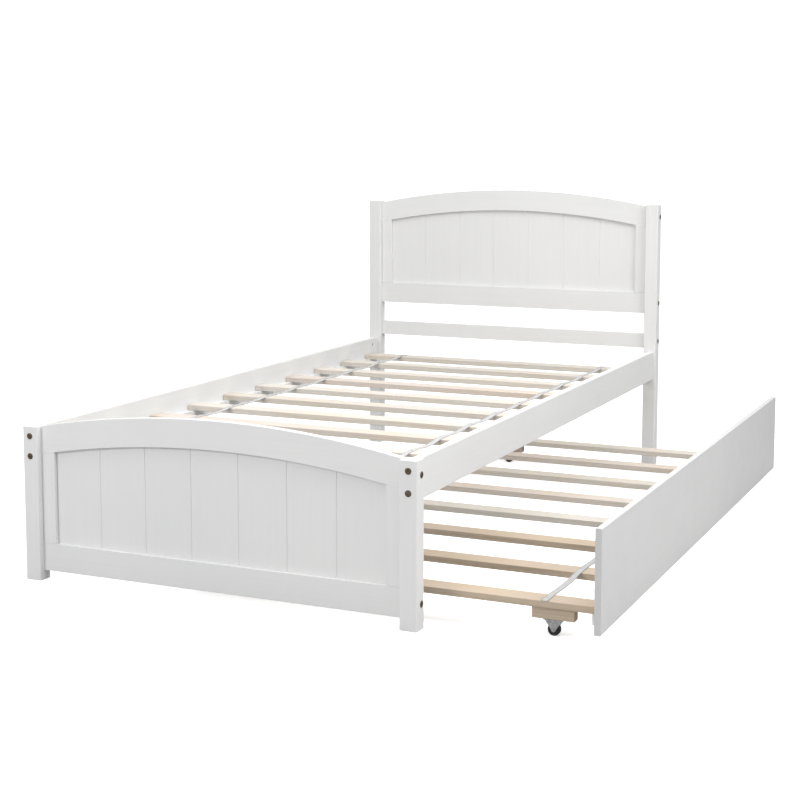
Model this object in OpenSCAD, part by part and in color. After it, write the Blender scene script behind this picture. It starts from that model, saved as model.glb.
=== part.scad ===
// Single bed with an arched, panelled head and foot, and a low slatted bed on casters
// that rolls out from under its right side.
// X runs across the bed, towards the side that the trundle rolls out of. Y runs from
// the foot to the head. Z is up. The origin is on the floor, at the middle of the whole
// footprint with the trundle pulled out. Every module below is written in the bed's own
// corner frame (left face of the left posts, front face of the foot posts, floor), and
// in_frame() moves it to the origin.

/* [Bed] */
// Width across the outer faces of the posts
bed_w = 1059; // [950:1:1400]
// Length over the outer faces of the posts
bed_l = 2040; // [1900:1:2200]
// Height of the head posts
head_h = 875; // [800:1:1200]
// Height of the foot posts
foot_h = 385; // [385:1:450]
// Width of a post, across the bed
post_w = 43; // [40:1:70]
// Depth of a post, along the bed
post_d = 41; // [40:1:70]

/* [End frames] */
// Thickness of the rails and stiles between two posts
frame_t = 20; // [18:1:24]
// Set-back of the rails and stiles from the front of the posts
frame_recess = 16; // [4:1:18]
// Width of a stile
stile_w = 38; // [30:1:80]
// Height of an arched top rail
top_rail_h = 69; // [60:1:90]
// Rise of the arch from the posts to the middle
arch_rise = 48; // [20:1:90]
// Underside of the foot arch where it meets the posts
foot_arch_z = 316.5; // [300:0.5:360]
// Underside of the head arch where it meets the posts
head_arch_z = 801; // [760:1:1100]
// Underside of the foot bottom rail
foot_rail_z = 24; // [10:1:60]
// Height of the foot bottom rail
foot_rail_h = 69; // [60:1:90]
// Underside of the rail below the head panel
head_rail_z = 512; // [500:1:600]
// Height of the rail below the head panel
head_rail_h = 70; // [60:1:90]
// Underside of the lowest head rail
lower_rail_z = 395; // [390:1:430]
// Height of the lowest head rail
lower_rail_h = 48; // [44:1:60]
// Thickness of the grooved panels
panel_t = 7; // [5:1:8]
// Set-back of a panel from the face of its frame
panel_recess = 10; // [6:1:10]
// Depth that a panel is let into its frame
panel_tongue = 8; // [5:1:9]
// Boards that the grooves divide a panel into
panel_boards = 7; // [3:1:11]
// Width of a groove at the panel's face
groove_w = 4; // [2:0.5:6]

/* [Side rails] */
// Thickness of a side rail
rail_t = 20; // [18:1:26]
// Height of a side rail
rail_h = 94; // [90:1:110]
// Underside of a side rail
rail_z = 290; // [280:1:290]
// Set-back of a side rail from the outer face of the posts
rail_inset = 11; // [6:1:16]
// Width of a ledger strip
ledger_w = 22; // [18:1:30]
// Height of a ledger strip
ledger_h = 27; // [20:1:32]

/* [Bed slats] */
// Number of slats
slat_count = 10; // [6:1:10]
// Width of a slat
slat_w = 55; // [45:1:70]
// Thickness of a slat
slat_t = 16; // [12:1:20]
// Distance from one slat to the next
slat_pitch = 197; // [150:1:197]
// Distance from the foot posts to the first slat
slat_start = 79; // [60:1:90]

/* [Trundle] */
// How far the trundle is pulled out as drawn, with 0 stored under the bed
pull_out = 404; // [1:1:900]
// Width from the back rail to the face of the front panel
trundle_w = 992; // [900:1:1000]
// Height of the front panel
front_h = 235; // [180:1:240]
// Gap under the front panel
front_z = 28; // [15:1:36]
// Thickness of the front panel
front_t = 15; // [12:1:20]
// Gap between an end of the front panel and the posts
front_gap = 16; // [8:1:30]
// Thickness of the back rail
back_t = 18; // [14:1:24]
// Height of the back rail
back_h = 70; // [60:1:120]
// Number of trundle slats
low_slat_count = 8; // [5:1:8]
// Distance from one trundle slat to the next
low_slat_pitch = 249; // [200:1:249]
// Distance from the end of the front panel to the first trundle slat
low_slat_start = 35; // [20:1:80]
// Underside of the trundle slats
low_slat_z = 64; // [60:1:90]
// Thickness of a trundle ledger strip
low_ledger_t = 16; // [12:1:22]
// Height of a trundle ledger strip
low_ledger_h = 26; // [20:1:30]

/* [Casters] */
// Length of a caster block, across the trundle
block_l = 98; // [80:1:140]
// Depth of a caster block, along the trundle
block_w = 26; // [24:1:45]
// Distance from a slat's front edge to the caster block under it
block_in = 5; // [0:1:10]
// Distance from a caster block to the panel or rail beside it
block_gap = 57; // [30:1:120]
// Diameter of a wheel
wheel_d = 29; // [25:1:32]
// Width of a wheel
wheel_w = 13; // [10:0.5:16]
// Diameter of a wheel's axle
axle_d = 4; // [3:0.5:6]
// Thickness of a caster's sheet metal
metal_t = 1.8; // [1.2:0.1:2.5]
// Length of a caster's plate
plate_l = 46; // [44:1:60]
// Width of a caster's plate
plate_w = 26; // [24:1:40]

/* [Webbing and fixings] */
// Width of the webbing that spaces the slats
strap_w = 16; // [10:1:30]
// Thickness of the webbing
strap_t = 1.2; // [0.8:0.1:2]
// Distance from the outer faces of the posts to the middle of the bed's webbing
strap_inset = 166; // [100:1:250]
// Distance from the trundle's faces to the middle of its webbing
low_strap_inset = 140; // [100:1:250]
// Diameter of the frame bolts
bolt_d = 6; // [5:0.5:8]
// Diameter of a bolt's head
bolt_head_d = 15.5; // [12:0.5:20]
// Height of a bolt's head
bolt_head_t = 1.6; // [1.2:0.1:3]
// Diameter of a barrel nut
barrel_d = 10; // [8:0.5:12]
// Length of a barrel nut
barrel_l = 14; // [10:1:16]
// Distance from a rail's end to its barrel nut
barrel_in = 39; // [30:1:45]
// Diameter of the dowels
dowel_d = 8; // [6:1:10]
// Length of the dowels
dowel_l = 30; // [24:2:40]
// Diameter of a wood screw's shank
screw_d = 4; // [3:0.5:5]
// Diameter of a wood screw's head
screw_head_d = 8; // [6:0.5:10]

/* [Hidden] */
$fn = 32;
arc_fn = 720;

// Overlap of a cut past the face that it opens in
cut = 1;
// Clearance round a part in its hole
hole_gap = 0.1;
// Clearance between an axle and its wheel, on the radius
axle_gap = 0.05;
// Clearance between a fork and its wheel, on each side
wheel_gap = 0.5;
// Depth of a blind hole past the end of the part in it
hole_over = 2;
// Gap at each end of a slat
slat_end_gap = 2;
// Eased edges of posts, rails and slats
post_ease = 3;
rail_ease = 2;
slat_ease = 1.5;

// End frames, between the posts
span = bed_w - 2 * post_w;
arch_r = (pow(span / 2, 2) + pow(arch_rise, 2)) / (2 * arch_rise);
frame_y = frame_recess + frame_t / 2;
head_y = bed_l - post_d;
panel_y = frame_recess + panel_recess;
panel_w = span - 2 * stile_w;

// Side rails and bed slats
rail_l = head_y - post_d;
rail_x = rail_inset + rail_t / 2;
ledger_end = 50;
ledger_l = rail_l - 2 * ledger_end;
slat_z = rail_z + ledger_h;
slat_x = rail_inset + rail_t + slat_end_gap;
slat_l = bed_w - 2 * slat_x;
slat_y0 = post_d + slat_start;

// Trundle
front_x = bed_w + pull_out;
back_x = front_x - trundle_w;
front_l = bed_l - 2 * (post_d + front_gap);
front_y = post_d + front_gap;
low_slat_y0 = front_y + low_slat_start;
low_slat_x = back_x + back_t + slat_end_gap;
low_slat_l = front_x - front_t - slat_end_gap - low_slat_x;
low_ledger_z = low_slat_z - low_ledger_h;
low_ledger_in = 3;
low_ledger_y = low_slat_y0 + low_ledger_in;
low_ledger_l = (low_slat_count - 1) * low_slat_pitch + slat_w - 2 * low_ledger_in;
low_ledger_x = [back_x + back_t, front_x - front_t - low_ledger_t];

// Casters: one block under each end of the first and the last trundle slat
block_x = [back_x + back_t + block_gap, front_x - front_t - block_gap - block_l];
block_y = [for (k = [0, low_slat_count - 1]) low_slat_y0 + k * low_slat_pitch + block_in];
block_z = low_ledger_z;
caster_x = [for (x = block_x) x + block_l / 2];
caster_y = [for (y = block_y) y + block_w / 2];
fork_gap = wheel_w / 2 + wheel_gap;
rivet_h = 1;
rivet_d = axle_d + 3;
fork_top_w = 42;
fork_eye_r = 5.5;

// Bolts: two into each end of a side rail, one into each end of an end-frame rail
rail_bolt_in = 22;
rail_bolt_z = [rail_z + rail_h - rail_bolt_in, rail_z + rail_bolt_in];
foot_bolt_z = [foot_arch_z + top_rail_h / 2, foot_rail_z + foot_rail_h / 2];
head_bolt_z = [
    head_arch_z + top_rail_h / 2,
    head_rail_z + head_rail_h / 2,
    lower_rail_z + lower_rail_h / 2
];
bolt_tip = 8;
bolt_hole_l = barrel_in + bolt_tip + hole_over;
barrel_hole_l = barrel_l + hole_over;
rail_bolt_l = post_d + barrel_in + bolt_tip;
frame_bolt_l = post_w + barrel_in + bolt_tip;
// Y of the barrel nuts in a side rail
rail_barrel_y = [post_d + barrel_in, head_y - barrel_in];
// Dowels sit above and below each end-frame bolt
dowel_step = 20;
lower_dowel_step = 14;
dowel_hole_l = dowel_l / 2 + 1;
// Rim and bevel of a bolt's head, and the hex socket in it
bolt_rim_h = 0.7;
bolt_bevel_w = 1.6;
socket_w = 4;
socket_depth = 1.8;

// Wood screws
screw_head_h = 2.2;
slat_screw_l = 30;
block_screw_l = 38;
low_screw_in = 8;
ledger_screw_l = 35;
low_ledger_screw_l = 24;
plate_screw_l = 14;
plate_screw_d = 3;
pan_head_d = 6;
pan_head_h = 1.4;
ledger_screws = 6;
block_screw_x = 33;
plate_screw_x = 17.5;

paint = "white";
pine = "burlywood";
zinc = "silver";
bronze = "darkgoldenrod";

ends = ["foot", "head"];
sides = ["left", "right"];
low_sides = ["back", "front"];

// Moves the corner frame to the origin, counting the bolt heads on the left posts
module in_frame() {
    translate([-(bed_w + pull_out - bolt_head_t) / 2, -bed_l / 2, 0])
        children();
}

// 0 leaves a shape on the left of the bed, 1 mirrors it to the right
module at_side(i) {
    if (i == 0) {
        children();
    } else {
        translate([bed_w, 0, 0])
            mirror([1, 0, 0])
                children();
    }
}

// Rectangle with rounded corners
module eased_rect(w, h, ease) {
    translate([ease, 0])
        square([w - 2 * ease, h]);
    translate([0, ease])
        square([w, h - 2 * ease]);
    for (x = [ease, w - ease])
        for (y = [ease, h - ease])
            translate([x, y])
                circle(ease);
}

// Bars with their long edges eased, from the origin along one axis
module bar_x(l, w, h, ease) {
    rotate([90, 0, 90])
        linear_extrude(l)
            eased_rect(w, h, ease);
}

module bar_y(w, l, h, ease) {
    translate([0, l, 0])
        rotate([90, 0, 0])
            linear_extrude(l)
                eased_rect(w, h, ease);
}

module bar_z(w, d, h, ease) {
    linear_extrude(h)
        eased_rect(w, d, ease);
}

// Plate between the posts, from an outline in X and Z, with its front face at y
module plate(y, t) {
    translate([0, y + t, 0])
        rotate([90, 0, 0])
            linear_extrude(t)
                children();
}

// Cylinders from a point, along one axis
module rod_x(x, y, z, l, d) {
    translate([x, y, z])
        rotate([0, 90, 0])
            cylinder(h = l, d = d);
}

module rod_y(x, y, z, l, d) {
    translate([x, y, z])
        rotate([-90, 0, 0])
            cylinder(h = l, d = d);
}

// Wood screw with its head's top at the origin, pointing down. grow makes its hole
module screw(l, grow = 0) {
    translate([0, 0, -screw_head_h])
        cylinder(h = screw_head_h, d1 = screw_d + grow, d2 = screw_head_d + grow);
    translate([0, 0, -l])
        cylinder(h = l - screw_head_h, d = screw_d + grow);
}

// Disc whose edge is the underside of an arch that starts at height z at the posts
module arch_disc(z) {
    translate([bed_w / 2, z + arch_rise - arch_r])
        circle(arch_r, $fn = arc_fn);
}

// Joints of an end frame, with the front face of its posts at Y = 0

// Bolt and dowel holes in the left end of a rail, with the barrel nut's hole behind
module rail_end_holes(z, step) {
    rod_x(post_w - cut, frame_y, z, bolt_hole_l + cut, bolt_d + hole_gap);
    rod_y(
        post_w + barrel_in,
        frame_recess + frame_t - barrel_hole_l,
        z,
        barrel_hole_l + cut,
        barrel_d + hole_gap
    );
    for (s = [-step, step])
        rod_x(post_w - cut, frame_y, z + s, dowel_hole_l + cut, dowel_d + hole_gap);
}

module both_rail_ends(z, step) {
    for (i = [0:1])
        at_side(i)
            rail_end_holes(z, step);
}

module post(h, bolt_z, steps) {
    difference() {
        bar_z(post_w, post_d, h, post_ease);
        for (z = rail_bolt_z)
            rod_y(rail_x, -cut, z, post_d + 2 * cut, bolt_d + hole_gap);
        for (k = [0:len(bolt_z) - 1]) {
            rod_x(-cut, frame_y, bolt_z[k], post_w + 2 * cut, bolt_d + hole_gap);
            for (s = [-steps[k], steps[k]])
                rod_x(
                    post_w - dowel_hole_l,
                    frame_y,
                    bolt_z[k] + s,
                    dowel_hole_l + cut,
                    dowel_d + hole_gap
                );
        }
    }
}

module arched_rail(z) {
    difference() {
        plate(frame_recess, frame_t)
            intersection() {
                translate([post_w, z - cut])
                    square([span, top_rail_h + arch_rise + 2 * cut]);
                difference() {
                    translate([0, top_rail_h])
                        arch_disc(z);
                    arch_disc(z);
                }
            }
        both_rail_ends(z + top_rail_h / 2, dowel_step);
    }
}

module straight_rail(z, h, step) {
    difference() {
        translate([post_w, frame_recess, z])
            cube([span, frame_t, h]);
        both_rail_ends(z + h / 2, step);
    }
}

module stile(z, arch_z) {
    plate(frame_recess, frame_t)
        intersection() {
            translate([post_w, z])
                square([stile_w, arch_z + arch_rise - z]);
            arch_disc(arch_z);
        }
}

// Outline of a panel with the tongue that its frame holds
module panel_outline(z, arch_z) {
    intersection() {
        translate([post_w + stile_w - panel_tongue, z - panel_tongue])
            square([panel_w + 2 * panel_tongue, arch_z + arch_rise + 2 * panel_tongue - z]);
        translate([0, panel_tongue])
            arch_disc(arch_z);
    }
}

module panel_slot(z, arch_z) {
    plate(panel_y - hole_gap, panel_t + 2 * hole_gap)
        panel_outline(z, arch_z);
}

module panel(z, arch_z) {
    board = panel_w / panel_boards;
    difference() {
        plate(panel_y, panel_t)
            panel_outline(z, arch_z);
        for (i = [1:panel_boards - 1])
            translate([post_w + stile_w + i * board, panel_y, z])
                linear_extrude(arch_z + arch_rise - z + 2 * panel_tongue)
                    rotate(45)
                        square(groove_w / sqrt(2), center = true);
    }
}

// Foot end

module foot_post(i) {
    color(paint)
        in_frame()
            at_side(i)
                post(foot_h, foot_bolt_z, [dowel_step, dowel_step]);
}

module foot_top_rail() {
    color(paint)
        in_frame()
            difference() {
                arched_rail(foot_arch_z);
                panel_slot(foot_rail_z + foot_rail_h, foot_arch_z);
            }
}

module foot_bottom_rail() {
    color(paint)
        in_frame()
            difference() {
                straight_rail(foot_rail_z, foot_rail_h, dowel_step);
                panel_slot(foot_rail_z + foot_rail_h, foot_arch_z);
            }
}

module foot_stile(i) {
    color(paint)
        in_frame()
            at_side(i)
                difference() {
                    stile(foot_rail_z + foot_rail_h, foot_arch_z);
                    panel_slot(foot_rail_z + foot_rail_h, foot_arch_z);
                }
}

module foot_panel() {
    color(paint)
        in_frame()
            panel(foot_rail_z + foot_rail_h, foot_arch_z);
}

// Head end, the same construction with a taller frame and one more rail

module at_head() {
    translate([0, head_y, 0])
        children();
}

module head_post(i) {
    color(paint)
        in_frame()
            at_side(i)
                at_head()
                    post(head_h, head_bolt_z, [dowel_step, dowel_step, lower_dowel_step]);
}

module head_top_rail() {
    color(paint)
        in_frame()
            at_head()
                difference() {
                    arched_rail(head_arch_z);
                    panel_slot(head_rail_z + head_rail_h, head_arch_z);
                }
}

module head_panel_rail() {
    color(paint)
        in_frame()
            at_head()
                difference() {
                    straight_rail(head_rail_z, head_rail_h, dowel_step);
                    panel_slot(head_rail_z + head_rail_h, head_arch_z);
                }
}

module head_lower_rail() {
    color(paint)
        in_frame()
            at_head()
                straight_rail(lower_rail_z, lower_rail_h, lower_dowel_step);
}

module head_stile(i) {
    color(paint)
        in_frame()
            at_head()
                at_side(i)
                    difference() {
                        stile(head_rail_z + head_rail_h, head_arch_z);
                        panel_slot(head_rail_z + head_rail_h, head_arch_z);
                    }
}

module head_panel() {
    color(paint)
        in_frame()
            at_head()
                panel(head_rail_z + head_rail_h, head_arch_z);
}

// Side rails, ledgers and slats

// Places a shape at each screw of a bed ledger, pointing into the rail
module at_ledger_screws() {
    step = ledger_l / ledger_screws;
    for (k = [0:ledger_screws - 1])
        translate([
            rail_inset + rail_t + ledger_w,
            post_d + ledger_end + (k + 0.5) * step,
            rail_z + ledger_h / 2
        ])
            rotate([0, 90, 0])
                children();
}

// Places a shape on the left ledger, at the ends of the first and the last slat
module at_slat_screws() {
    for (i = [0, slat_count - 1])
        translate([
            rail_inset + rail_t + ledger_w / 2,
            slat_y0 + i * slat_pitch + slat_w / 2,
            slat_z + slat_t
        ])
            children();
}

module side_rail(i) {
    color(paint)
        in_frame()
            at_side(i)
                difference() {
                    translate([rail_inset, post_d, rail_z])
                        bar_y(rail_t, rail_l, rail_h, rail_ease);
                    for (z = rail_bolt_z) {
                        for (y = [post_d - cut, head_y - bolt_hole_l])
                            rod_y(rail_x, y, z, bolt_hole_l + cut, bolt_d + hole_gap);
                        for (y = rail_barrel_y)
                            rod_x(
                                rail_inset + rail_t - barrel_hole_l,
                                y,
                                z,
                                barrel_hole_l + cut,
                                barrel_d + hole_gap
                            );
                    }
                    at_ledger_screws()
                        screw(ledger_screw_l, hole_gap);
                }
}

module ledger(i) {
    color(paint)
        in_frame()
            at_side(i)
                difference() {
                    translate([rail_inset + rail_t, post_d + ledger_end, rail_z])
                        cube([ledger_w, ledger_l, ledger_h]);
                    at_ledger_screws()
                        screw(ledger_screw_l, hole_gap);
                    at_slat_screws()
                        screw(slat_screw_l, hole_gap);
                }
}

module slat(i) {
    color(pine)
        in_frame()
            difference() {
                translate([slat_x, slat_y0 + (i - 1) * slat_pitch, slat_z])
                    bar_x(slat_l, slat_w, slat_t, slat_ease);
                if (i == 1 || i == slat_count)
                    for (s = [0:1])
                        at_side(s)
                            at_slat_screws()
                                screw(slat_screw_l, hole_gap);
            }
}

module slat_strap(i) {
    color("whitesmoke")
        in_frame()
            at_side(i)
                translate([strap_inset - strap_w / 2, slat_y0, slat_z + slat_t])
                    cube([strap_w, (slat_count - 1) * slat_pitch + slat_w, strap_t]);
}

// Fixings of the bed

// Bolt with a low domed head and a hex socket, from under its head along +Z
module bolt(l) {
    difference() {
        union() {
            translate([0, 0, -bolt_head_t])
                rotate_extrude()
                    polygon([
                        [0, 0],
                        [bolt_head_d / 2 - bolt_bevel_w, 0],
                        [bolt_head_d / 2, bolt_head_t - bolt_rim_h],
                        [bolt_head_d / 2, bolt_head_t],
                        [0, bolt_head_t]
                    ]);
            translate([0, 0, -bolt_rim_h])
                cylinder(h = l + bolt_rim_h, d = bolt_d);
        }
        translate([0, 0, -bolt_head_t - cut])
            cylinder(h = socket_depth + cut, d = socket_w / cos(30), $fn = 6);
    }
}

module side_rail_bolts() {
    color(bronze)
        in_frame()
            for (i = [0:1])
                at_side(i)
                    for (z = rail_bolt_z) {
                        translate([rail_x, 0, z])
                            rotate([-90, 0, 0])
                                bolt(rail_bolt_l);
                        translate([rail_x, bed_l, z])
                            rotate([90, 0, 0])
                                bolt(rail_bolt_l);
                    }
}

module end_frame_bolts() {
    color(bronze)
        in_frame()
            for (i = [0:1])
                at_side(i) {
                    for (z = foot_bolt_z)
                        translate([0, frame_y, z])
                            rotate([0, 90, 0])
                                bolt(frame_bolt_l);
                    at_head()
                        for (z = head_bolt_z)
                            translate([0, frame_y, z])
                                rotate([0, 90, 0])
                                    bolt(frame_bolt_l);
                }
}

// Barrel nut with its cross hole on a bolt along Z, just inside the face of a rail of
// thickness t that its +X end points to
module barrel_nut(t) {
    difference() {
        translate([t / 2 - cut - barrel_l, 0, 0])
            rotate([0, 90, 0])
                cylinder(h = barrel_l, d = barrel_d);
        translate([0, 0, -barrel_d])
            cylinder(h = 2 * barrel_d, d = bolt_d + hole_gap);
    }
}

module end_barrel_nut(z) {
    translate([post_w + barrel_in, frame_y, z])
        rotate([0, 90, 0])
            rotate([0, 0, 90])
                barrel_nut(frame_t);
}

module barrel_nuts() {
    color(zinc)
        in_frame()
            for (i = [0:1])
                at_side(i) {
                    for (z = rail_bolt_z)
                        for (y = rail_barrel_y)
                            translate([rail_x, y, z])
                                rotate([90, 0, 0])
                                    barrel_nut(rail_t);
                    for (z = foot_bolt_z)
                        end_barrel_nut(z);
                    at_head()
                        for (z = head_bolt_z)
                            end_barrel_nut(z);
                }
}

module dowel_pair(z, step) {
    for (s = [-step, step])
        rod_x(post_w - dowel_l / 2, frame_y, z + s, dowel_l, dowel_d);
}

module frame_dowels() {
    color(pine)
        in_frame()
            for (i = [0:1])
                at_side(i) {
                    for (z = foot_bolt_z)
                        dowel_pair(z, dowel_step);
                    at_head() {
                        dowel_pair(head_bolt_z[0], dowel_step);
                        dowel_pair(head_bolt_z[1], dowel_step);
                        dowel_pair(head_bolt_z[2], lower_dowel_step);
                    }
                }
}

module bed_screws() {
    color(zinc)
        in_frame()
            for (i = [0:1])
                at_side(i) {
                    at_ledger_screws()
                        screw(ledger_screw_l);
                    at_slat_screws()
                        screw(slat_screw_l);
                }
}

// Trundle

// Places a shape at each screw of the trundle ledgers, pointing into the panel or rail
module at_low_ledger_screws(i) {
    step = low_ledger_l / ledger_screws;
    x = i == 0 ? low_ledger_x[0] + low_ledger_t : low_ledger_x[1];
    for (k = [0:ledger_screws - 1])
        translate([x, low_ledger_y + (k + 0.5) * step, low_ledger_z + low_ledger_h / 2])
            rotate([0, i == 0 ? 90 : -90, 0])
                children();
}

// Places a shape at both ends of a trundle slat, over the ledgers
module at_low_slat_screws(k) {
    for (x = [back_x + back_t + low_screw_in, front_x - front_t - low_screw_in])
        translate([
            x,
            low_slat_y0 + (k - 1) * low_slat_pitch + slat_w / 2,
            low_slat_z + slat_t
        ])
            children();
}

// Places a shape at the screws that hold the caster blocks under their slats
module at_block_screws() {
    for (x = caster_x)
        for (y = caster_y)
            for (s = [-block_screw_x, block_screw_x])
                translate([x + s, y, low_slat_z + slat_t])
                    children();
}

// Places a shape at each caster, at the middle of its block's underside
module at_casters() {
    for (x = caster_x)
        for (y = caster_y)
            translate([x, y, block_z])
                children();
}

// Places a shape at each screw of a caster's plate, pointing up into the block
module at_plate_screws() {
    for (x = [-plate_screw_x, plate_screw_x])
        translate([x, 0, -metal_t])
            rotate([180, 0, 0])
                children();
}

module trundle_front_panel() {
    color(paint)
        in_frame()
            difference() {
                translate([front_x - front_t, front_y, front_z])
                    bar_y(front_t, front_l, front_h, rail_ease);
                at_low_ledger_screws(1)
                    screw(low_ledger_screw_l, hole_gap);
            }
}

module trundle_back_rail() {
    color(paint)
        in_frame()
            difference() {
                translate([back_x, front_y, front_z])
                    bar_y(back_t, front_l, back_h, rail_ease);
                at_low_ledger_screws(0)
                    screw(low_ledger_screw_l, hole_gap);
            }
}

module trundle_ledger(i) {
    color(paint)
        in_frame()
            difference() {
                translate([low_ledger_x[i], low_ledger_y, low_ledger_z])
                    cube([low_ledger_t, low_ledger_l, low_ledger_h]);
                at_low_ledger_screws(i)
                    screw(low_ledger_screw_l, hole_gap);
                for (k = [1:low_slat_count])
                    at_low_slat_screws(k)
                        screw(slat_screw_l, hole_gap);
            }
}

module trundle_slat(k) {
    color(pine)
        in_frame()
            difference() {
                translate([low_slat_x, low_slat_y0 + (k - 1) * low_slat_pitch, low_slat_z])
                    bar_x(low_slat_l, slat_w, slat_t, slat_ease);
                at_low_slat_screws(k)
                    screw(slat_screw_l, hole_gap);
                if (k == 1 || k == low_slat_count)
                    at_block_screws()
                        screw(block_screw_l, hole_gap);
            }
}

module trundle_strap(i) {
    x = i == 0 ? back_x + low_strap_inset : front_x - low_strap_inset;
    color("whitesmoke")
        in_frame()
            translate([x - strap_w / 2, low_slat_y0, low_slat_z + slat_t])
                cube([strap_w, (low_slat_count - 1) * low_slat_pitch + slat_w, strap_t]);
}

module trundle_screws() {
    color(zinc)
        in_frame() {
            for (i = [0:1])
                at_low_ledger_screws(i)
                    screw(low_ledger_screw_l);
            for (k = [1:low_slat_count])
                at_low_slat_screws(k)
                    screw(slat_screw_l);
            at_block_screws()
                screw(block_screw_l);
            at_casters()
                at_plate_screws() {
                    cylinder(h = pan_head_h, d = pan_head_d);
                    translate([0, 0, -plate_screw_l])
                        cylinder(h = plate_screw_l, d = plate_screw_d);
                }
        }
}

module caster_blocks() {
    color(pine)
        in_frame()
            difference() {
                for (x = block_x)
                    for (y = block_y)
                        translate([x, y, block_z])
                            bar_x(block_l, block_w, low_slat_z - block_z, slat_ease);
                at_block_screws()
                    screw(block_screw_l, hole_gap);
                at_casters()
                    at_plate_screws()
                        translate([0, 0, -plate_screw_l])
                            cylinder(h = plate_screw_l, d = plate_screw_d + hole_gap);
            }
}

// Casters

// One side of a fork, standing in X and Z, hanging from z = 0 to the axle
module fork_cheek() {
    drop = block_z - wheel_d / 2 - metal_t;
    difference() {
        union() {
            polygon([
                [-fork_top_w / 2, 0],
                [fork_top_w / 2, 0],
                [fork_eye_r, -drop],
                [-fork_eye_r, -drop]
            ]);
            translate([0, -drop])
                circle(fork_eye_r);
        }
        translate([0, -drop])
            circle((axle_d + hole_gap) / 2);
    }
}

module caster_forks() {
    color(zinc)
        in_frame()
            at_casters() {
                difference() {
                    translate([-plate_l / 2, -plate_w / 2, -metal_t])
                        bar_z(plate_l, plate_w, metal_t, post_ease);
                    at_plate_screws()
                        translate([0, 0, -cut - metal_t])
                            cylinder(h = 2 * cut + metal_t, d = plate_screw_d + hole_gap);
                }
                for (s = [-fork_gap, fork_gap + metal_t])
                    translate([0, s, -metal_t])
                        rotate([90, 0, 0])
                            linear_extrude(metal_t)
                                fork_cheek();
            }
}

// Riveted axle, centred on the wheel
module caster_axles() {
    grip = 2 * (fork_gap + metal_t);
    color(zinc)
        in_frame()
            for (x = caster_x)
                for (y = caster_y) {
                    rod_y(x, y - grip / 2, wheel_d / 2, grip, axle_d);
                    rod_y(x, y - grip / 2 - rivet_h, wheel_d / 2, rivet_h, rivet_d);
                    rod_y(x, y + grip / 2, wheel_d / 2, rivet_h, rivet_d);
                }
}

// Solid wheel with a dished face, a hub and eased tread edges
module caster_wheel(i, j) {
    hub_r = 5;
    rim_r = 11;
    dish = 1.2;
    ease = 1.6;
    r = wheel_d / 2;
    w = wheel_w / 2;
    color("black")
        in_frame()
            translate([caster_x[i], caster_y[j], r])
                rotate([90, 0, 0])
                    rotate_extrude()
                        polygon([
                            [axle_d / 2 + axle_gap, -w],
                            [hub_r, -w],
                            [hub_r + dish, -w + dish],
                            [rim_r, -w + dish],
                            [rim_r + dish, -w],
                            [r - ease, -w],
                            [r, -w + ease],
                            [r, w - ease],
                            [r - ease, w],
                            [rim_r + dish, w],
                            [rim_r, w - dish],
                            [hub_r + dish, w - dish],
                            [hub_r, w],
                            [axle_d / 2 + axle_gap, w]
                        ]);
}

for (i = [0:1]) {
    foot_post(i);
    foot_stile(i);
    head_post(i);
    head_stile(i);
    side_rail(i);
    ledger(i);
    slat_strap(i);
    trundle_ledger(i);
    trundle_strap(i);
}
for (i = [1:slat_count])
    slat(i);
for (k = [1:low_slat_count])
    trundle_slat(k);
for (i = [0:1])
    for (j = [0:1])
        caster_wheel(i, j);
foot_top_rail();
foot_bottom_rail();
foot_panel();
head_top_rail();
head_panel_rail();
head_lower_rail();
head_panel();
side_rail_bolts();
end_frame_bolts();
barrel_nuts();
frame_dowels();
bed_screws();
trundle_front_panel();
trundle_back_rail();
trundle_screws();
caster_blocks();
caster_forks();
caster_axles();
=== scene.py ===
"""The looks of a single bed with a pull-out trundle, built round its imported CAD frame.

Metres, in the frame's axes: X runs across the bed to the side that the trundle rolls out
of, Y from the foot to the head, and Z up from the floor.
"""

import math
import random

import bmesh
import bpy
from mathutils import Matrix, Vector


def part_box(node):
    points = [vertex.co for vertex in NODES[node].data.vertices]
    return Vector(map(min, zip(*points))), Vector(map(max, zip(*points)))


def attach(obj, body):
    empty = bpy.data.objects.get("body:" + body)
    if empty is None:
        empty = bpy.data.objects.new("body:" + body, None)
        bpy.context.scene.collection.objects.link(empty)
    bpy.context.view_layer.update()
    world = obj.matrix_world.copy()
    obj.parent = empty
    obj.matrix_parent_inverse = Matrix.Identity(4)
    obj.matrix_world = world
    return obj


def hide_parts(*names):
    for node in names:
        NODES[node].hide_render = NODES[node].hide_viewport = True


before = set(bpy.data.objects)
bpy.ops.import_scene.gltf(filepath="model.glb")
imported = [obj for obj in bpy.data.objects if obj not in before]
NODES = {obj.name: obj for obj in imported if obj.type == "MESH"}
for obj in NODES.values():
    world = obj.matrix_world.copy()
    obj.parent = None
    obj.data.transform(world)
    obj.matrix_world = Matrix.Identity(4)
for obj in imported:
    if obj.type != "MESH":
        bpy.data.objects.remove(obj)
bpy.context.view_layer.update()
scene = bpy.context.scene

BED_SLATS = sorted(n for n in NODES if n.removeprefix("slat_").isdigit())
LOW_SLATS = sorted(n for n in NODES if n.startswith("trundle_slat_"))


# ---------------------------------------------------------------- shader building


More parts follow.
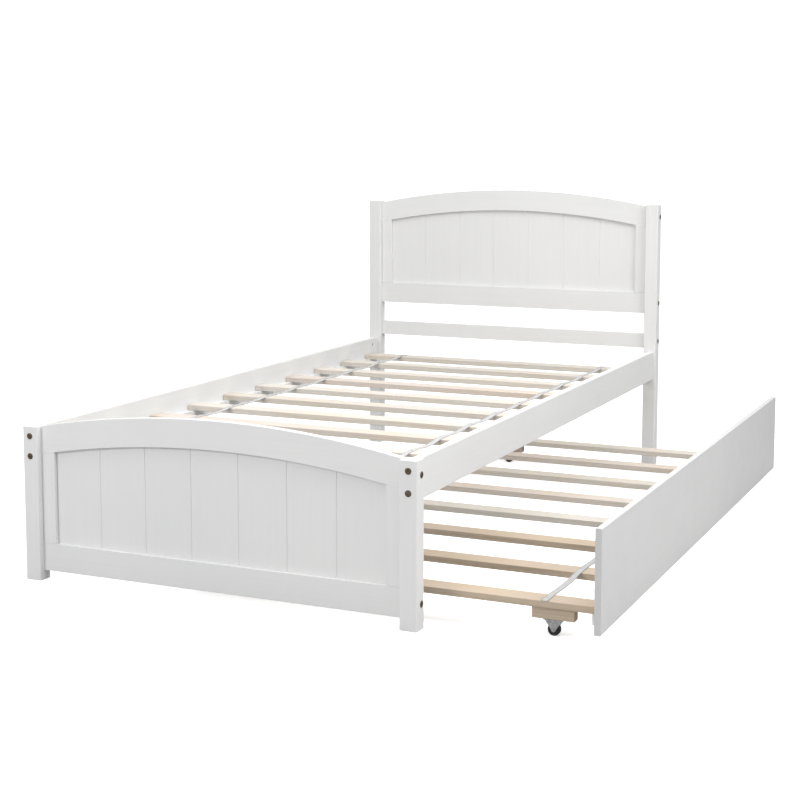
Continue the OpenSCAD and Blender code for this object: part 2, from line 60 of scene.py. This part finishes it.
class Graph:
    """Short calls that build one node tree."""

    def __init__(self, tree):
        self.tree = tree
        tree.nodes.clear()

    def add(self, kind, values=None, **settings):
        """A new node. values go to its sockets, and each is a number, colour or output."""
        node = self.tree.nodes.new(kind)
        for name, value in settings.items():
            setattr(node, name, value)
        for name, value in (values or {}).items():
            if isinstance(value, bpy.types.NodeSocket):
                self.tree.links.new(value, node.inputs[name])
            else:
                node.inputs[name].default_value = value
        return node

    def coordinates(self, scale=(1, 1, 1), shift=(0, 0, 0)):
        place = self.add("ShaderNodeTexCoord").outputs["Object"]
        values = {"Vector": place, "Scale": scale, "Location": shift}
        return self.add("ShaderNodeMapping", values).outputs["Vector"]

    def noise(self, vector, scale, detail=2.0, roughness=0.5):
        values = {"Vector": vector, "Scale": scale, "Detail": detail, "Roughness": roughness}
        return self.add("ShaderNodeTexNoise", values).outputs["Fac"]

    def math(self, operation, a, b=0.0):
        return self.add("ShaderNodeMath", {0: a, 1: b}, operation=operation).outputs[0]

    def remap(self, value, low, high, to_low=0.0, to_high=1.0):
        values = {0: value, 1: low, 2: high, 3: to_low, 4: to_high}
        return self.add("ShaderNodeMapRange", values).outputs[0]

    def ramp(self, value, *stops):
        """Colour by value. Each stop is (place from 0 to 1, colour)."""
        node = self.add("ShaderNodeValToRGB", {"Fac": value})
        elements = node.color_ramp.elements
        while len(elements) < len(stops):
            elements.new(0.5)
        for element, (place, colour) in zip(elements, stops):
            element.position = place
            element.color = (*colour, 1)
        return node.outputs["Color"]

    def mix(self, share, a, b):
        """Colour a turning into colour b as share goes from 0 to 1."""
        node = self.add("ShaderNodeMix", {0: share}, data_type="RGBA")
        for index, value in ((6, a), (7, b)):
            if isinstance(value, bpy.types.NodeSocket):
                self.tree.links.new(value, node.inputs[index])
            else:
                node.inputs[index].default_value = (*value, 1)
        return node.outputs[2]

    def bump(self, height, depth, strength, under=None):
        values = {"Height": height, "Distance": depth, "Strength": strength}
        if under is not None:
            values["Normal"] = under
        return self.add("ShaderNodeBump", values).outputs["Normal"]

    def edges(self, radius, full_at):
        """0 on flat faces, rising to 1 on edges. full_at is the bend that counts as an edge."""
        soft = self.add("ShaderNodeBevel", {"Radius": radius}, samples=6).outputs["Normal"]
        true = self.add("ShaderNodeNewGeometry").outputs["Normal"]
        agree = self.add("ShaderNodeVectorMath", {0: soft, 1: true}, operation="DOT_PRODUCT")
        return self.remap(agree.outputs["Value"], 1.0, full_at)

    def surface(self, **values):
        """The Principled shader and the output, with _ for a space in a socket's name."""
        named = {name.replace("_", " "): value for name, value in values.items()}
        shader = self.add("ShaderNodeBsdfPrincipled", named)
        self.add("ShaderNodeOutputMaterial", {"Surface": shader.outputs["BSDF"]})


def material(name):
    made = bpy.data.materials.new(name)
    made.use_nodes = True
    return made, Graph(made.node_tree)


def stretched(axis, along, across):
    """Pattern scale that is low along the board's axis, x, y or z, and high across it."""
    return [along if a == axis else across for a in "xyz"]


def shaded(colour, share):
    return [c * share for c in colour]


# ---------------------------------------------------------------- materials


PAINT_PALE = (0.820, 0.822, 0.816)
PAINT_COOL = (0.780, 0.784, 0.782)
PAINT_WORN = (0.640, 0.600, 0.530)
# The trundle's front panel gets a darker copy of the white paint: painted shade for the lesser
# light that falls on it
PANEL_PAINTED_SHADE = 0.78


def white_paint(name, axis, painted_shade=1.0):
    """Satin white lacquer on a board whose grain runs along axis. Below 1, the last argument
    darkens all its colours, which paints shade into them.
    """
    made, g = material(name)
    place = g.coordinates()
    cloud = g.noise(place, 2.3, detail=3)
    # Both paint tones are darkened together here when the last argument is below 1: painted
    # shade
    pale, cool = shaded(PAINT_PALE, painted_shade), shaded(PAINT_COOL, painted_shade)
    tone = g.ramp(cloud, (0.3, cool), (0.7, pale))
    grain = g.noise(g.coordinates(stretched(axis, 3, 160)), 1.0, detail=4)
    streak = g.noise(g.coordinates(stretched(axis, 0.8, 34), (3.7, 1.9, 0.4)), 1.0, detail=2)
    tone = g.mix(g.remap(streak, 0.45, 0.72, 0.0, 0.05), tone, shaded(cool, 0.93))
    tone = g.mix(g.remap(grain, 0.45, 0.75, 0.0, 0.12), tone, shaded(cool, 0.86))
    rub = g.math("MULTIPLY", g.edges(0.0016, 0.86), g.remap(g.noise(place, 38, 4), 0.46, 0.70))
    worn = g.mix(g.math("MULTIPLY", rub, 0.30), tone, PAINT_WORN)
    peel = g.noise(place, 640, detail=1)
    relief = g.bump(grain, 0.00022, 0.45)
    relief = g.bump(peel, 0.00006, 0.5, relief)
    gloss = g.remap(g.noise(place, 14, 3), 0.3, 0.7, 0.34, 0.44)
    g.surface(
        Base_Color=worn,
        Roughness=gloss,
        Normal=relief,
        IOR=1.47,
        Coat_Weight=0.12,
        Coat_Roughness=0.22,
    )
    return made


RINGS_PER_M = (0, 150, 95)
RING_WAVER = 7.0
RING_PROFILE = ((0.0, 0.0), (0.55, 0.22), (0.88, 1.0), (1.0, 0.0))
KNOT_COLOUR = (0.150, 0.075, 0.035)


def growth_rings(g, place, seed):
    """Share of late wood across a board sawn along X, whose rings waver along it."""
    drift = g.noise(g.coordinates(stretched("x", 1.6, 15), (seed, 0, 0)), 1.0, detail=1)
    values = {0: place, 1: RINGS_PER_M}
    lines = g.add("ShaderNodeVectorMath", values, operation="DOT_PRODUCT").outputs["Value"]
    phase = g.math("ADD", lines, g.math("MULTIPLY", drift, RING_WAVER))
    return g.ramp(g.math("FRACT", phase), *((at, (late,) * 3) for at, late in RING_PROFILE))


def knots(g, place, seed):
    """Share of a knot's eye, and of the darker wood round it, at each place."""
    values = {"Vector": g.coordinates(stretched("x", 3.4, 7.5), (seed * 2, 0, 0)), "Scale": 1.0}
    cell = g.add("ShaderNodeTexVoronoi", values).outputs
    chance = g.add("ShaderNodeSeparateColor", {0: cell["Color"]}).outputs[0]
    chosen = g.remap(chance, 0.72, 0.74)
    away = g.math("ADD", cell["Distance"], g.math("MULTIPLY", g.noise(place, 90), 0.02))
    eye = g.math("MULTIPLY", g.remap(away, 0.062, 0.040), chosen)
    halo = g.math("MULTIPLY", g.remap(away, 0.150, 0.050), chosen)
    return eye, halo


def pine(name, pale, late, seed):
    """Planed raw pine. pale is its early wood and late the darker line of each ring."""
    made, g = material(name)
    place = g.coordinates(shift=(seed, seed * 0.7, seed * 1.3))
    band = growth_rings(g, place, seed)
    blotch = g.noise(place, 5.5, detail=2)
    fibre = g.noise(g.coordinates(stretched("x", 9, 900)), 1.0, detail=3, roughness=0.65)
    wood = g.mix(g.math("MULTIPLY", band, g.remap(blotch, 0.3, 0.75, 0.25, 0.8)), pale, late)
    wood = g.mix(g.remap(fibre, 0.45, 0.8, 0.0, 0.42), wood, shaded(late, 0.72))
    warm = [c * k for c, k in zip(pale, (1.0, 0.93, 0.82))]
    wood = g.mix(g.remap(blotch, 0.35, 0.7, 0.0, 0.5), wood, warm)
    eye, halo = knots(g, place, seed)
    wood = g.mix(g.math("MULTIPLY", halo, 0.35), wood, shaded(late, 0.75))
    wood = g.mix(g.math("MULTIPLY", eye, 0.85), wood, KNOT_COLOUR)
    fuzz = g.edges(0.0012, 0.88)
    wood = g.mix(g.math("MULTIPLY", fuzz, 0.30), wood, shaded(pale, 1.12))
    relief = g.bump(band, 0.00012, 0.5)
    relief = g.bump(fibre, 0.00030, 0.55, relief)
    rough = g.remap(fibre, 0.3, 0.7, 0.52, 0.70)
    g.surface(Base_Color=wood, Roughness=rough, Normal=relief, IOR=1.45)
    return made


def metal(name, colour, dull, scratch, base_rough):
    """Plated steel: bright on its edges, dull in patches, with fine turned scratches."""
    made, g = material(name)
    place = g.coordinates()
    patches = g.remap(g.noise(place, 120, 3), 0.35, 0.68)
    tone = g.mix(g.math("MULTIPLY", patches, 0.7), colour, dull)
    rubbed = g.math("MULTIPLY", g.edges(0.0006, 0.85), g.remap(g.noise(place, 300), 0.3, 0.6))
    bright = [c * 1.35 + 0.08 for c in colour]
    tone = g.mix(g.math("MULTIPLY", rubbed, 0.7), tone, bright)
    fine = g.noise(g.coordinates((scratch, scratch * 6, scratch)), 1.0, detail=4)
    rough = g.remap(g.math("ADD", fine, patches), 0.5, 1.6, base_rough, base_rough + 0.22)
    g.surface(
        Base_Color=tone,
        Roughness=rough,
        Metallic=1.0,
        Normal=g.bump(fine, 0.00004, 0.6),
    )
    return made


def wheel_plastic():
    """Black moulded wheel with a scuffed, dusty tread."""
    made, g = material("wheel_plastic")
    place = g.coordinates()
    speck = g.noise(place, 420, detail=3)
    dust = g.math("MULTIPLY", g.edges(0.0012, 0.8), g.remap(g.noise(place, 90, 3), 0.4, 0.7))
    tone = g.ramp(speck, (0.3, (0.012, 0.012, 0.013)), (0.75, (0.028, 0.028, 0.029)))
    tone = g.mix(g.math("MULTIPLY", dust, 0.5), tone, (0.160, 0.155, 0.150))
    rough = g.remap(g.noise(place, 60, 3), 0.3, 0.7, 0.28, 0.5)
    g.surface(Base_Color=tone, Roughness=rough, Normal=g.bump(speck, 0.00005, 0.5), IOR=1.5)
    return made


# The weave turns by this many radians a metre. At WAVE_UNIT the wave texture's phase is its
# coordinate in radians.
WEAVE_TURN = (2200, 2200, 2200)
WAVE_UNIT = 0.05


def webbing():
    """Thin woven tape, plain weave, coloured darker where the mesh's selvedge attribute says
    so: painted shade along its edges.
    """
    made, g = material("webbing")
    wave = {"Vector": g.coordinates(WEAVE_TURN), "Scale": WAVE_UNIT}
    warp = g.add("ShaderNodeTexWave", wave, bands_direction="X")
    weft = g.add("ShaderNodeTexWave", wave, bands_direction="Y")
    threads = g.math("MULTIPLY", warp.outputs["Fac"], weft.outputs["Fac"])
    painted_edge_shade = g.add("ShaderNodeAttribute", attribute_name="selvedge").outputs["Fac"]
    slub = g.noise(g.coordinates((400, 60, 400)), 1.0, detail=3)
    tone = g.ramp(slub, (0.3, (0.440, 0.442, 0.438)), (0.72, (0.510, 0.510, 0.500)))
    tone = g.mix(g.math("MULTIPLY", threads, 0.30), tone, (0.590, 0.590, 0.580))
    # Painted shade: the selvedges are coloured darker for the dark lines along the tape's edges
    tone = g.mix(g.math("MULTIPLY", painted_edge_shade, 0.60), tone, (0.270, 0.272, 0.272))
    relief = g.bump(threads, 0.00018, 0.7)
    relief = g.bump(slub, 0.00015, 0.4, relief)
    g.surface(
        Base_Color=tone,
        Roughness=0.78,
        Normal=relief,
        Sheen_Weight=0.25,
        Sheen_Roughness=0.5,
    )
    return made


PAINT = {axis: white_paint(f"white_paint_{axis}", axis) for axis in "xyz"}
# Darker copy of the white paint for the trundle's front panel: painted shade
PANEL_PAINT_WITH_PAINTED_SHADE = white_paint("white_paint_y_painted_shade", "y", PANEL_PAINTED_SHADE)
PALE_PINE = pine("pine_pale", (0.735, 0.690, 0.630), (0.570, 0.500, 0.430), seed=0.0)
WARM_PINE = pine("pine_warm", (0.570, 0.475, 0.375), (0.420, 0.320, 0.230), seed=1.7)
GREY_PINE = pine("pine_grey", (0.690, 0.650, 0.595), (0.530, 0.470, 0.400), seed=3.1)
ROSY_PINE = pine("pine_rosy", (0.700, 0.630, 0.570), (0.530, 0.450, 0.380), seed=4.6)
BEECH = pine("beech", (0.560, 0.400, 0.260), (0.440, 0.290, 0.180), seed=6.2)
BRONZE = metal("bronze_bolt", (0.205, 0.165, 0.120), (0.090, 0.070, 0.052), 220, 0.30)
ZINC = metal("zinc_steel", (0.560, 0.565, 0.570), (0.360, 0.365, 0.370), 180, 0.30)
CASTER_STEEL = metal("caster_steel", (0.520, 0.525, 0.530), (0.330, 0.335, 0.340), 90, 0.34)
BLACK = wheel_plastic()
TAPE = webbing()


# ---------------------------------------------------------------- CAD nodes


# A CAD mesh is welded, its flat faces are joined, and its edges sharper than EDGE_ANGLE eased
WELD_GAP = 1e-6
FLAT_ANGLE = math.radians(0.03)
EDGE_ANGLE = math.radians(35)


def dress(node, look, ease=0.0, segments=2):
    """Gives a CAD node its material and, with ease above 0, rounded edges of that size."""
    piece = NODES[node]
    for held in piece.material_slots:
        held.material = look
    if not ease:
        return
    weld = piece.modifiers.new("weld", "WELD")
    weld.merge_threshold = WELD_GAP
    flat = piece.modifiers.new("flat", "DECIMATE")
    flat.decimate_type = "DISSOLVE"
    flat.angle_limit = FLAT_ANGLE
    bevel = piece.modifiers.new("ease", "BEVEL")
    bevel.width = ease
    bevel.segments = segments
    bevel.limit_method = "ANGLE"
    bevel.angle_limit = EDGE_ANGLE
    piece.modifiers.new("normals", "WEIGHTED_NORMAL")


# Width of the rounded edges, and the strips that make one on a painted board
PAINT_EASE = 0.0022
PAINT_SEGMENTS = 3
GROOVE_EASE = 0.0004
WOOD_EASE = 0.0008
METAL_EASE = 0.00025

GRAIN_OF_PAINTED = {
    "x": [
        "foot_top_rail",
        "foot_bottom_rail",
        "head_top_rail",
        "head_panel_rail",
        "head_lower_rail",
    ],
    "y": [
        "side_rail_left",
        "side_rail_right",
        "ledger_left",
        "ledger_right",
        "trundle_back_rail",
        "trundle_ledger_back",
        "trundle_ledger_front",
    ],
    "z": [n for n in NODES if "_post_" in n or "_stile_" in n],
}
for axis, names in GRAIN_OF_PAINTED.items():
    for name in names:
        dress(name, PAINT[axis], PAINT_EASE, PAINT_SEGMENTS)
for name in ("foot_panel", "head_panel"):
    dress(name, PAINT["z"], GROOVE_EASE)
# The trundle's front panel takes the darker paint copy, whose darkness is painted shade
dress("trundle_front_panel", PANEL_PAINT_WITH_PAINTED_SHADE, PAINT_EASE, PAINT_SEGMENTS)

BED_BOARDS = (PALE_PINE, GREY_PINE, PALE_PINE, ROSY_PINE)
LOW_BOARDS = (WARM_PINE,) * 3 + (GREY_PINE, ROSY_PINE) * 2 + (PALE_PINE,)
for slats, boards in ((BED_SLATS, BED_BOARDS), (LOW_SLATS, LOW_BOARDS)):
    for index, name in enumerate(slats):
        dress(name, boards[index % len(boards)], WOOD_EASE)
dress("caster_blocks", WARM_PINE, WOOD_EASE)
dress("frame_dowels", BEECH)

for name in ("side_rail_bolts", "end_frame_bolts"):
    dress(name, BRONZE, METAL_EASE)
for name in ("barrel_nuts", "bed_screws", "trundle_screws"):
    dress(name, ZINC)
for name in ("caster_forks", "caster_axles"):
    dress(name, CASTER_STEEL, METAL_EASE)
for name in NODES:
    if name.startswith("caster_wheel_"):
        dress(name, BLACK, METAL_EASE)


# ---------------------------------------------------------------- meshes made here


def finished(name, mesh, look):
    """A linked, smooth-shaded object from a bmesh, with its normals outwards."""
    bmesh.ops.recalc_face_normals(mesh, faces=mesh.faces)
    data = bpy.data.meshes.new(name)
    mesh.to_mesh(data)
    mesh.free()
    for face in data.polygons:
        face.use_smooth = True
    data.materials.append(look)
    piece = bpy.data.objects.new(name, data)
    scene.collection.objects.link(piece)
    return piece


# ---------------------------------------------------------------- webbing and staples


# Deepest sag of a strap between two slats, and how it varies
STRAP_SAG = 0.004
SAG_SPREAD = (0.7, 1.25)
# Thickness between the selvedges, which are as thick as the CAD strap
STRAP_THIN = 0.0008
SELVEDGE_W = 0.0028
# Share of a selvedge's width over which it thickens
SELVEDGE_RISE = 0.4
# Sideways waves of a strap: size, radians a metre along Y, and a shift for each metre of X
STRAP_WANDER = ((0.0009, 9.0, 7), (0.0004, 31.0, 0))
# Steps of the mesh across a strap, along a span and on a slat
STRAP_COLUMNS = 12
SPAN_STEPS = 22
ON_SLAT_STEPS = 8


def strap_line(slats):
    """Points (y, z of the strap's underside) along a strap: flat on slats, slack between."""
    line = []
    boxes = [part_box(slat) for slat in slats]
    spans = sorted((low.y, high.y, high.z) for low, high in boxes)
    for index, (front, back, top) in enumerate(spans):
        for step in range(ON_SLAT_STEPS + 1):
            line.append((front + (back - front) * step / ON_SLAT_STEPS, top))
        if index + 1 < len(spans):
            ahead = spans[index + 1][0]
            slack = STRAP_SAG * random.uniform(*SAG_SPREAD)
            for step in range(1, SPAN_STEPS):
                share = step / SPAN_STEPS
                drop = slack * 4 * share * (1 - share)
                line.append((back + (ahead - back) * share, top - drop))
    return line


def strap(name, node, slats, body):
    """Woven tape over the slats, stapled to each: a closed ribbon with thicker selvedges."""
    low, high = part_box(node)
    middle, half = (low.x + high.x) / 2, (high.x - low.x) / 2
    full = high.z - low.z
    line = strap_line(slats)
    mesh = bmesh.new()
    # Share of each vertex in a selvedge, which the tape's material darkens as painted shade
    painted_edge_shade = mesh.verts.layers.float.new("selvedge")
    rows = []
    for y, z in line:
        wander = sum(a * math.sin(y * turn + middle * shift) for a, turn, shift in STRAP_WANDER)
        top, bottom = [], []
        for column in range(STRAP_COLUMNS + 1):
            across = (2 * column / STRAP_COLUMNS - 1) * half
            inwards = abs(across) - half + SELVEDGE_W
            edge = max(0.0, min(1.0, inwards / (SELVEDGE_W * SELVEDGE_RISE)))
            thick = STRAP_THIN + (full - STRAP_THIN) * edge
            for side, height in ((top, thick), (bottom, 0.0)):
                vert = mesh.verts.new((middle + across + wander, y, z + height))
                vert[painted_edge_shade] = edge
                side.append(vert)
        rows.append((top, bottom))
    for (top, bottom), (next_top, next_bottom) in zip(rows, rows[1:]):
        for c in range(STRAP_COLUMNS):
            mesh.faces.new((top[c], top[c + 1], next_top[c + 1], next_top[c]))
            mesh.faces.new((bottom[c + 1], bottom[c], next_bottom[c], next_bottom[c + 1]))
        last = STRAP_COLUMNS
        mesh.faces.new((top[last], bottom[last], next_bottom[last], next_top[last]))
        mesh.faces.new((bottom[0], top[0], next_top[0], next_bottom[0]))
    for (top, bottom), flip in ((rows[0], False), (rows[-1], True)):
        for c in range(STRAP_COLUMNS):
            ring = (top[c], bottom[c], bottom[c + 1], top[c + 1])
            mesh.faces.new(ring[::-1] if flip else ring)
    piece = finished(name, mesh, TAPE)
    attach(piece, body)
    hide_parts(node)


WIRE_SIDES = 8


def tube(mesh, points, radius):
    """A closed round wire through points, which lie in a plane of constant Y."""
    rings = []
    for index, point in enumerate(points):
        before = points[max(index - 1, 0)]
        after = points[min(index + 1, len(points) - 1)]
        along = (Vector(after) - Vector(before)).normalized()
        out = along.cross(Vector((0, 1, 0)))
        ring = []
        for side in range(WIRE_SIDES):
            turn = 2 * math.pi * side / WIRE_SIDES
            offset = out * math.cos(turn) + Vector((0, 1, 0)) * math.sin(turn)
            ring.append(mesh.verts.new(Vector(point) + offset * radius))
        rings.append(ring)
    for ring, following in zip(rings, rings[1:]):
        for side in range(WIRE_SIDES):
            beside = (side + 1) % WIRE_SIDES
            mesh.faces.new((ring[side], ring[beside], following[beside], following[side]))
    mesh.faces.new(rings[0][::-1])
    mesh.faces.new(rings[-1])


STAPLE_CROWN = 0.0100
STAPLE_WIRE = 0.00055
STAPLE_LEG = 0.0030
STAPLE_BEND = 0.0008
STAPLE_STEPS = 4
# Height of a crown's middle over the tape, in radii of the wire
STAPLE_PROUD = 0.7
# Largest shift from the middle of the strap and of the slat
STAPLE_SCATTER = (0.001, 0.006)


def staples(name, node, slats, body):
    """A wire staple that holds the strap to each slat, a little off the middle of both."""
    low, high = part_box(node)
    off_x, off_y = STAPLE_SCATTER
    mesh = bmesh.new()
    for slat in slats:
        slat_low, slat_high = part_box(slat)
        x = (low.x + high.x) / 2 + random.uniform(-off_x, off_x)
        y = (slat_low.y + slat_high.y) / 2 + random.uniform(-off_y, off_y)
        top = slat_high.z + STRAP_THIN + STAPLE_WIRE * STAPLE_PROUD
        half = STAPLE_CROWN / 2
        path = [(x - half, y, top - STAPLE_LEG)]
        for side, first in ((-1, math.pi), (1, math.pi / 2)):
            for step in range(STAPLE_STEPS + 1):
                turn = first - math.pi / 2 * step / STAPLE_STEPS
                bend_x = x + side * (half - STAPLE_BEND) + STAPLE_BEND * math.cos(turn)
                bend_z = top - STAPLE_BEND + STAPLE_BEND * math.sin(turn)
                path.append((bend_x, y, bend_z))
        path.append((x + half, y, top - STAPLE_LEG))
        tube(mesh, path, STAPLE_WIRE)
    piece = finished(name, mesh, ZINC)
    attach(piece, body)


SEED = 7
random.seed(SEED)
for side in ("left", "right"):
    strap(f"webbing_{side}", f"slat_strap_{side}", BED_SLATS, "bed")
    staples(f"staples_{side}", f"slat_strap_{side}", BED_SLATS, "bed")
for side in ("back", "front"):
    strap(f"trundle_webbing_{side}", f"trundle_strap_{side}", LOW_SLATS, "trundle")
    staples(f"trundle_staples_{side}", f"trundle_strap_{side}", LOW_SLATS, "trundle")


# ---------------------------------------------------------------- floor, light and camera


# The floor's half width, the share of light that it throws back, and what a camera sees of it
FLOOR_HALF = 60.0
FLOOR_BOUNCE = (0.42, 0.42, 0.42)
FLOOR_SEEN = ((0.3, (0.95, 0.95, 0.95)), (0.7, (0.98, 0.98, 0.98)))
FLOOR_GLOW = 0.45
# The room's light from all round, from above and from behind, and the white seen past the bed
ROOM_LIGHT = 0.05
CEILING_LIGHT = 1.20
BACK_LIGHT = 0.40
SEEN_WHITE = 1.1

# Place, the point that it faces, side and watts of each soft box
SOFT_BOXES = {
    "overhead": ((0.7, -0.9, 2.6), (0.7, -0.9, 0.0), 2.0, 31.0),
    "key": ((-1.85, -4.3, 2.2), (0.0, 0.0, 0.3), 0.9, 56.0),
    "right": ((3.2, -0.6, 2.4), (0.3, 0.0, 0.3), 1.8, 55.0),
}


def floor():
    """A pale floor that looks white, but throws little light up under the bed."""
    made, g = material("pale_floor")
    haze = g.ramp(g.noise(g.coordinates(), 0.6, detail=2), *FLOOR_SEEN)
    seen = g.add("ShaderNodeLightPath").outputs["Is Camera Ray"]
    colour = g.mix(seen, FLOOR_BOUNCE, haze)
    matt = g.add("ShaderNodeBsdfDiffuse", {"Color": colour}).outputs["BSDF"]
    strength = g.math("MULTIPLY", seen, FLOOR_GLOW)
    glow = g.add("ShaderNodeEmission", {"Strength": strength}).outputs[0]
    both = g.add("ShaderNodeAddShader", {0: matt, 1: glow}).outputs[0]
    g.add("ShaderNodeOutputMaterial", {"Surface": both})
    mesh = bmesh.new()
    bmesh.ops.create_grid(mesh, x_segments=4, y_segments=4, size=FLOOR_HALF)
    piece = finished("studio_floor", mesh, made)


def studio():
    """A white room lit from above and a little from behind, and the soft boxes in it."""
    world = bpy.data.worlds.new("studio")
    scene.world = world
    world.use_nodes = True
    g = Graph(world.node_tree)
    way = g.add("ShaderNodeTexCoord").outputs["Generated"]
    parts = g.add("ShaderNodeSeparateXYZ", {0: way}).outputs
    above = g.math("MULTIPLY", g.math("MAXIMUM", parts["Z"], 0.0), CEILING_LIGHT)
    behind = g.math("MULTIPLY", g.math("MAXIMUM", parts["Y"], 0.0), BACK_LIGHT)
    seen = g.add("ShaderNodeLightPath").outputs["Is Camera Ray"]
    room = g.math("ADD", g.math("ADD", above, behind), ROOM_LIGHT)
    lit = g.math("MAXIMUM", room, g.math("MULTIPLY", seen, SEEN_WHITE))
    light = g.add("ShaderNodeBackground", {"Color": (1, 1, 1, 1), "Strength": lit})
    g.add("ShaderNodeOutputWorld", {"Surface": light.outputs["Background"]})
    for name, (at, towards, size, energy) in SOFT_BOXES.items():
        soft_box(name, at, towards, size, energy)


def soft_box(name, at, towards, size, energy):
    """A square area light at a place, turned towards another."""
    box = bpy.data.lights.new(name, "AREA")
    box.size = size
    box.energy = energy
    hung = bpy.data.objects.new(name, box)
    hung.location = at
    hung.rotation_euler = (Vector(towards) - Vector(at)).to_track_quat("-Z", "Y").to_euler()
    scene.collection.objects.link(hung)


# Place, turn about Z and tilt down in degrees, lens and sensor in mm, shift in frame widths
CAMERA_AT = (1.668, -4.094, 1.071)
CAMERA_AZIMUTH = 24.18
CAMERA_ELEVATION = 6.37
CAMERA_LENS = 70.2
CAMERA_SENSOR = 36.0
CAMERA_SHIFT_Y = -0.10


def camera():
    """A long lens from the front right, whose shift keeps the picture plane nearly upright."""
    data = bpy.data.cameras.new("camera")
    data.lens = CAMERA_LENS
    data.sensor_width = CAMERA_SENSOR
    data.shift_y = CAMERA_SHIFT_Y
    held = bpy.data.objects.new("camera", data)
    turn, tilt = math.radians(CAMERA_AZIMUTH), math.radians(CAMERA_ELEVATION)
    held.location = CAMERA_AT
    held.rotation_euler = (math.pi / 2 - tilt, 0, turn)
    scene.collection.objects.link(held)
    scene.camera = held


floor()
studio()
camera()
scene.view_settings.view_transform = "Standard"
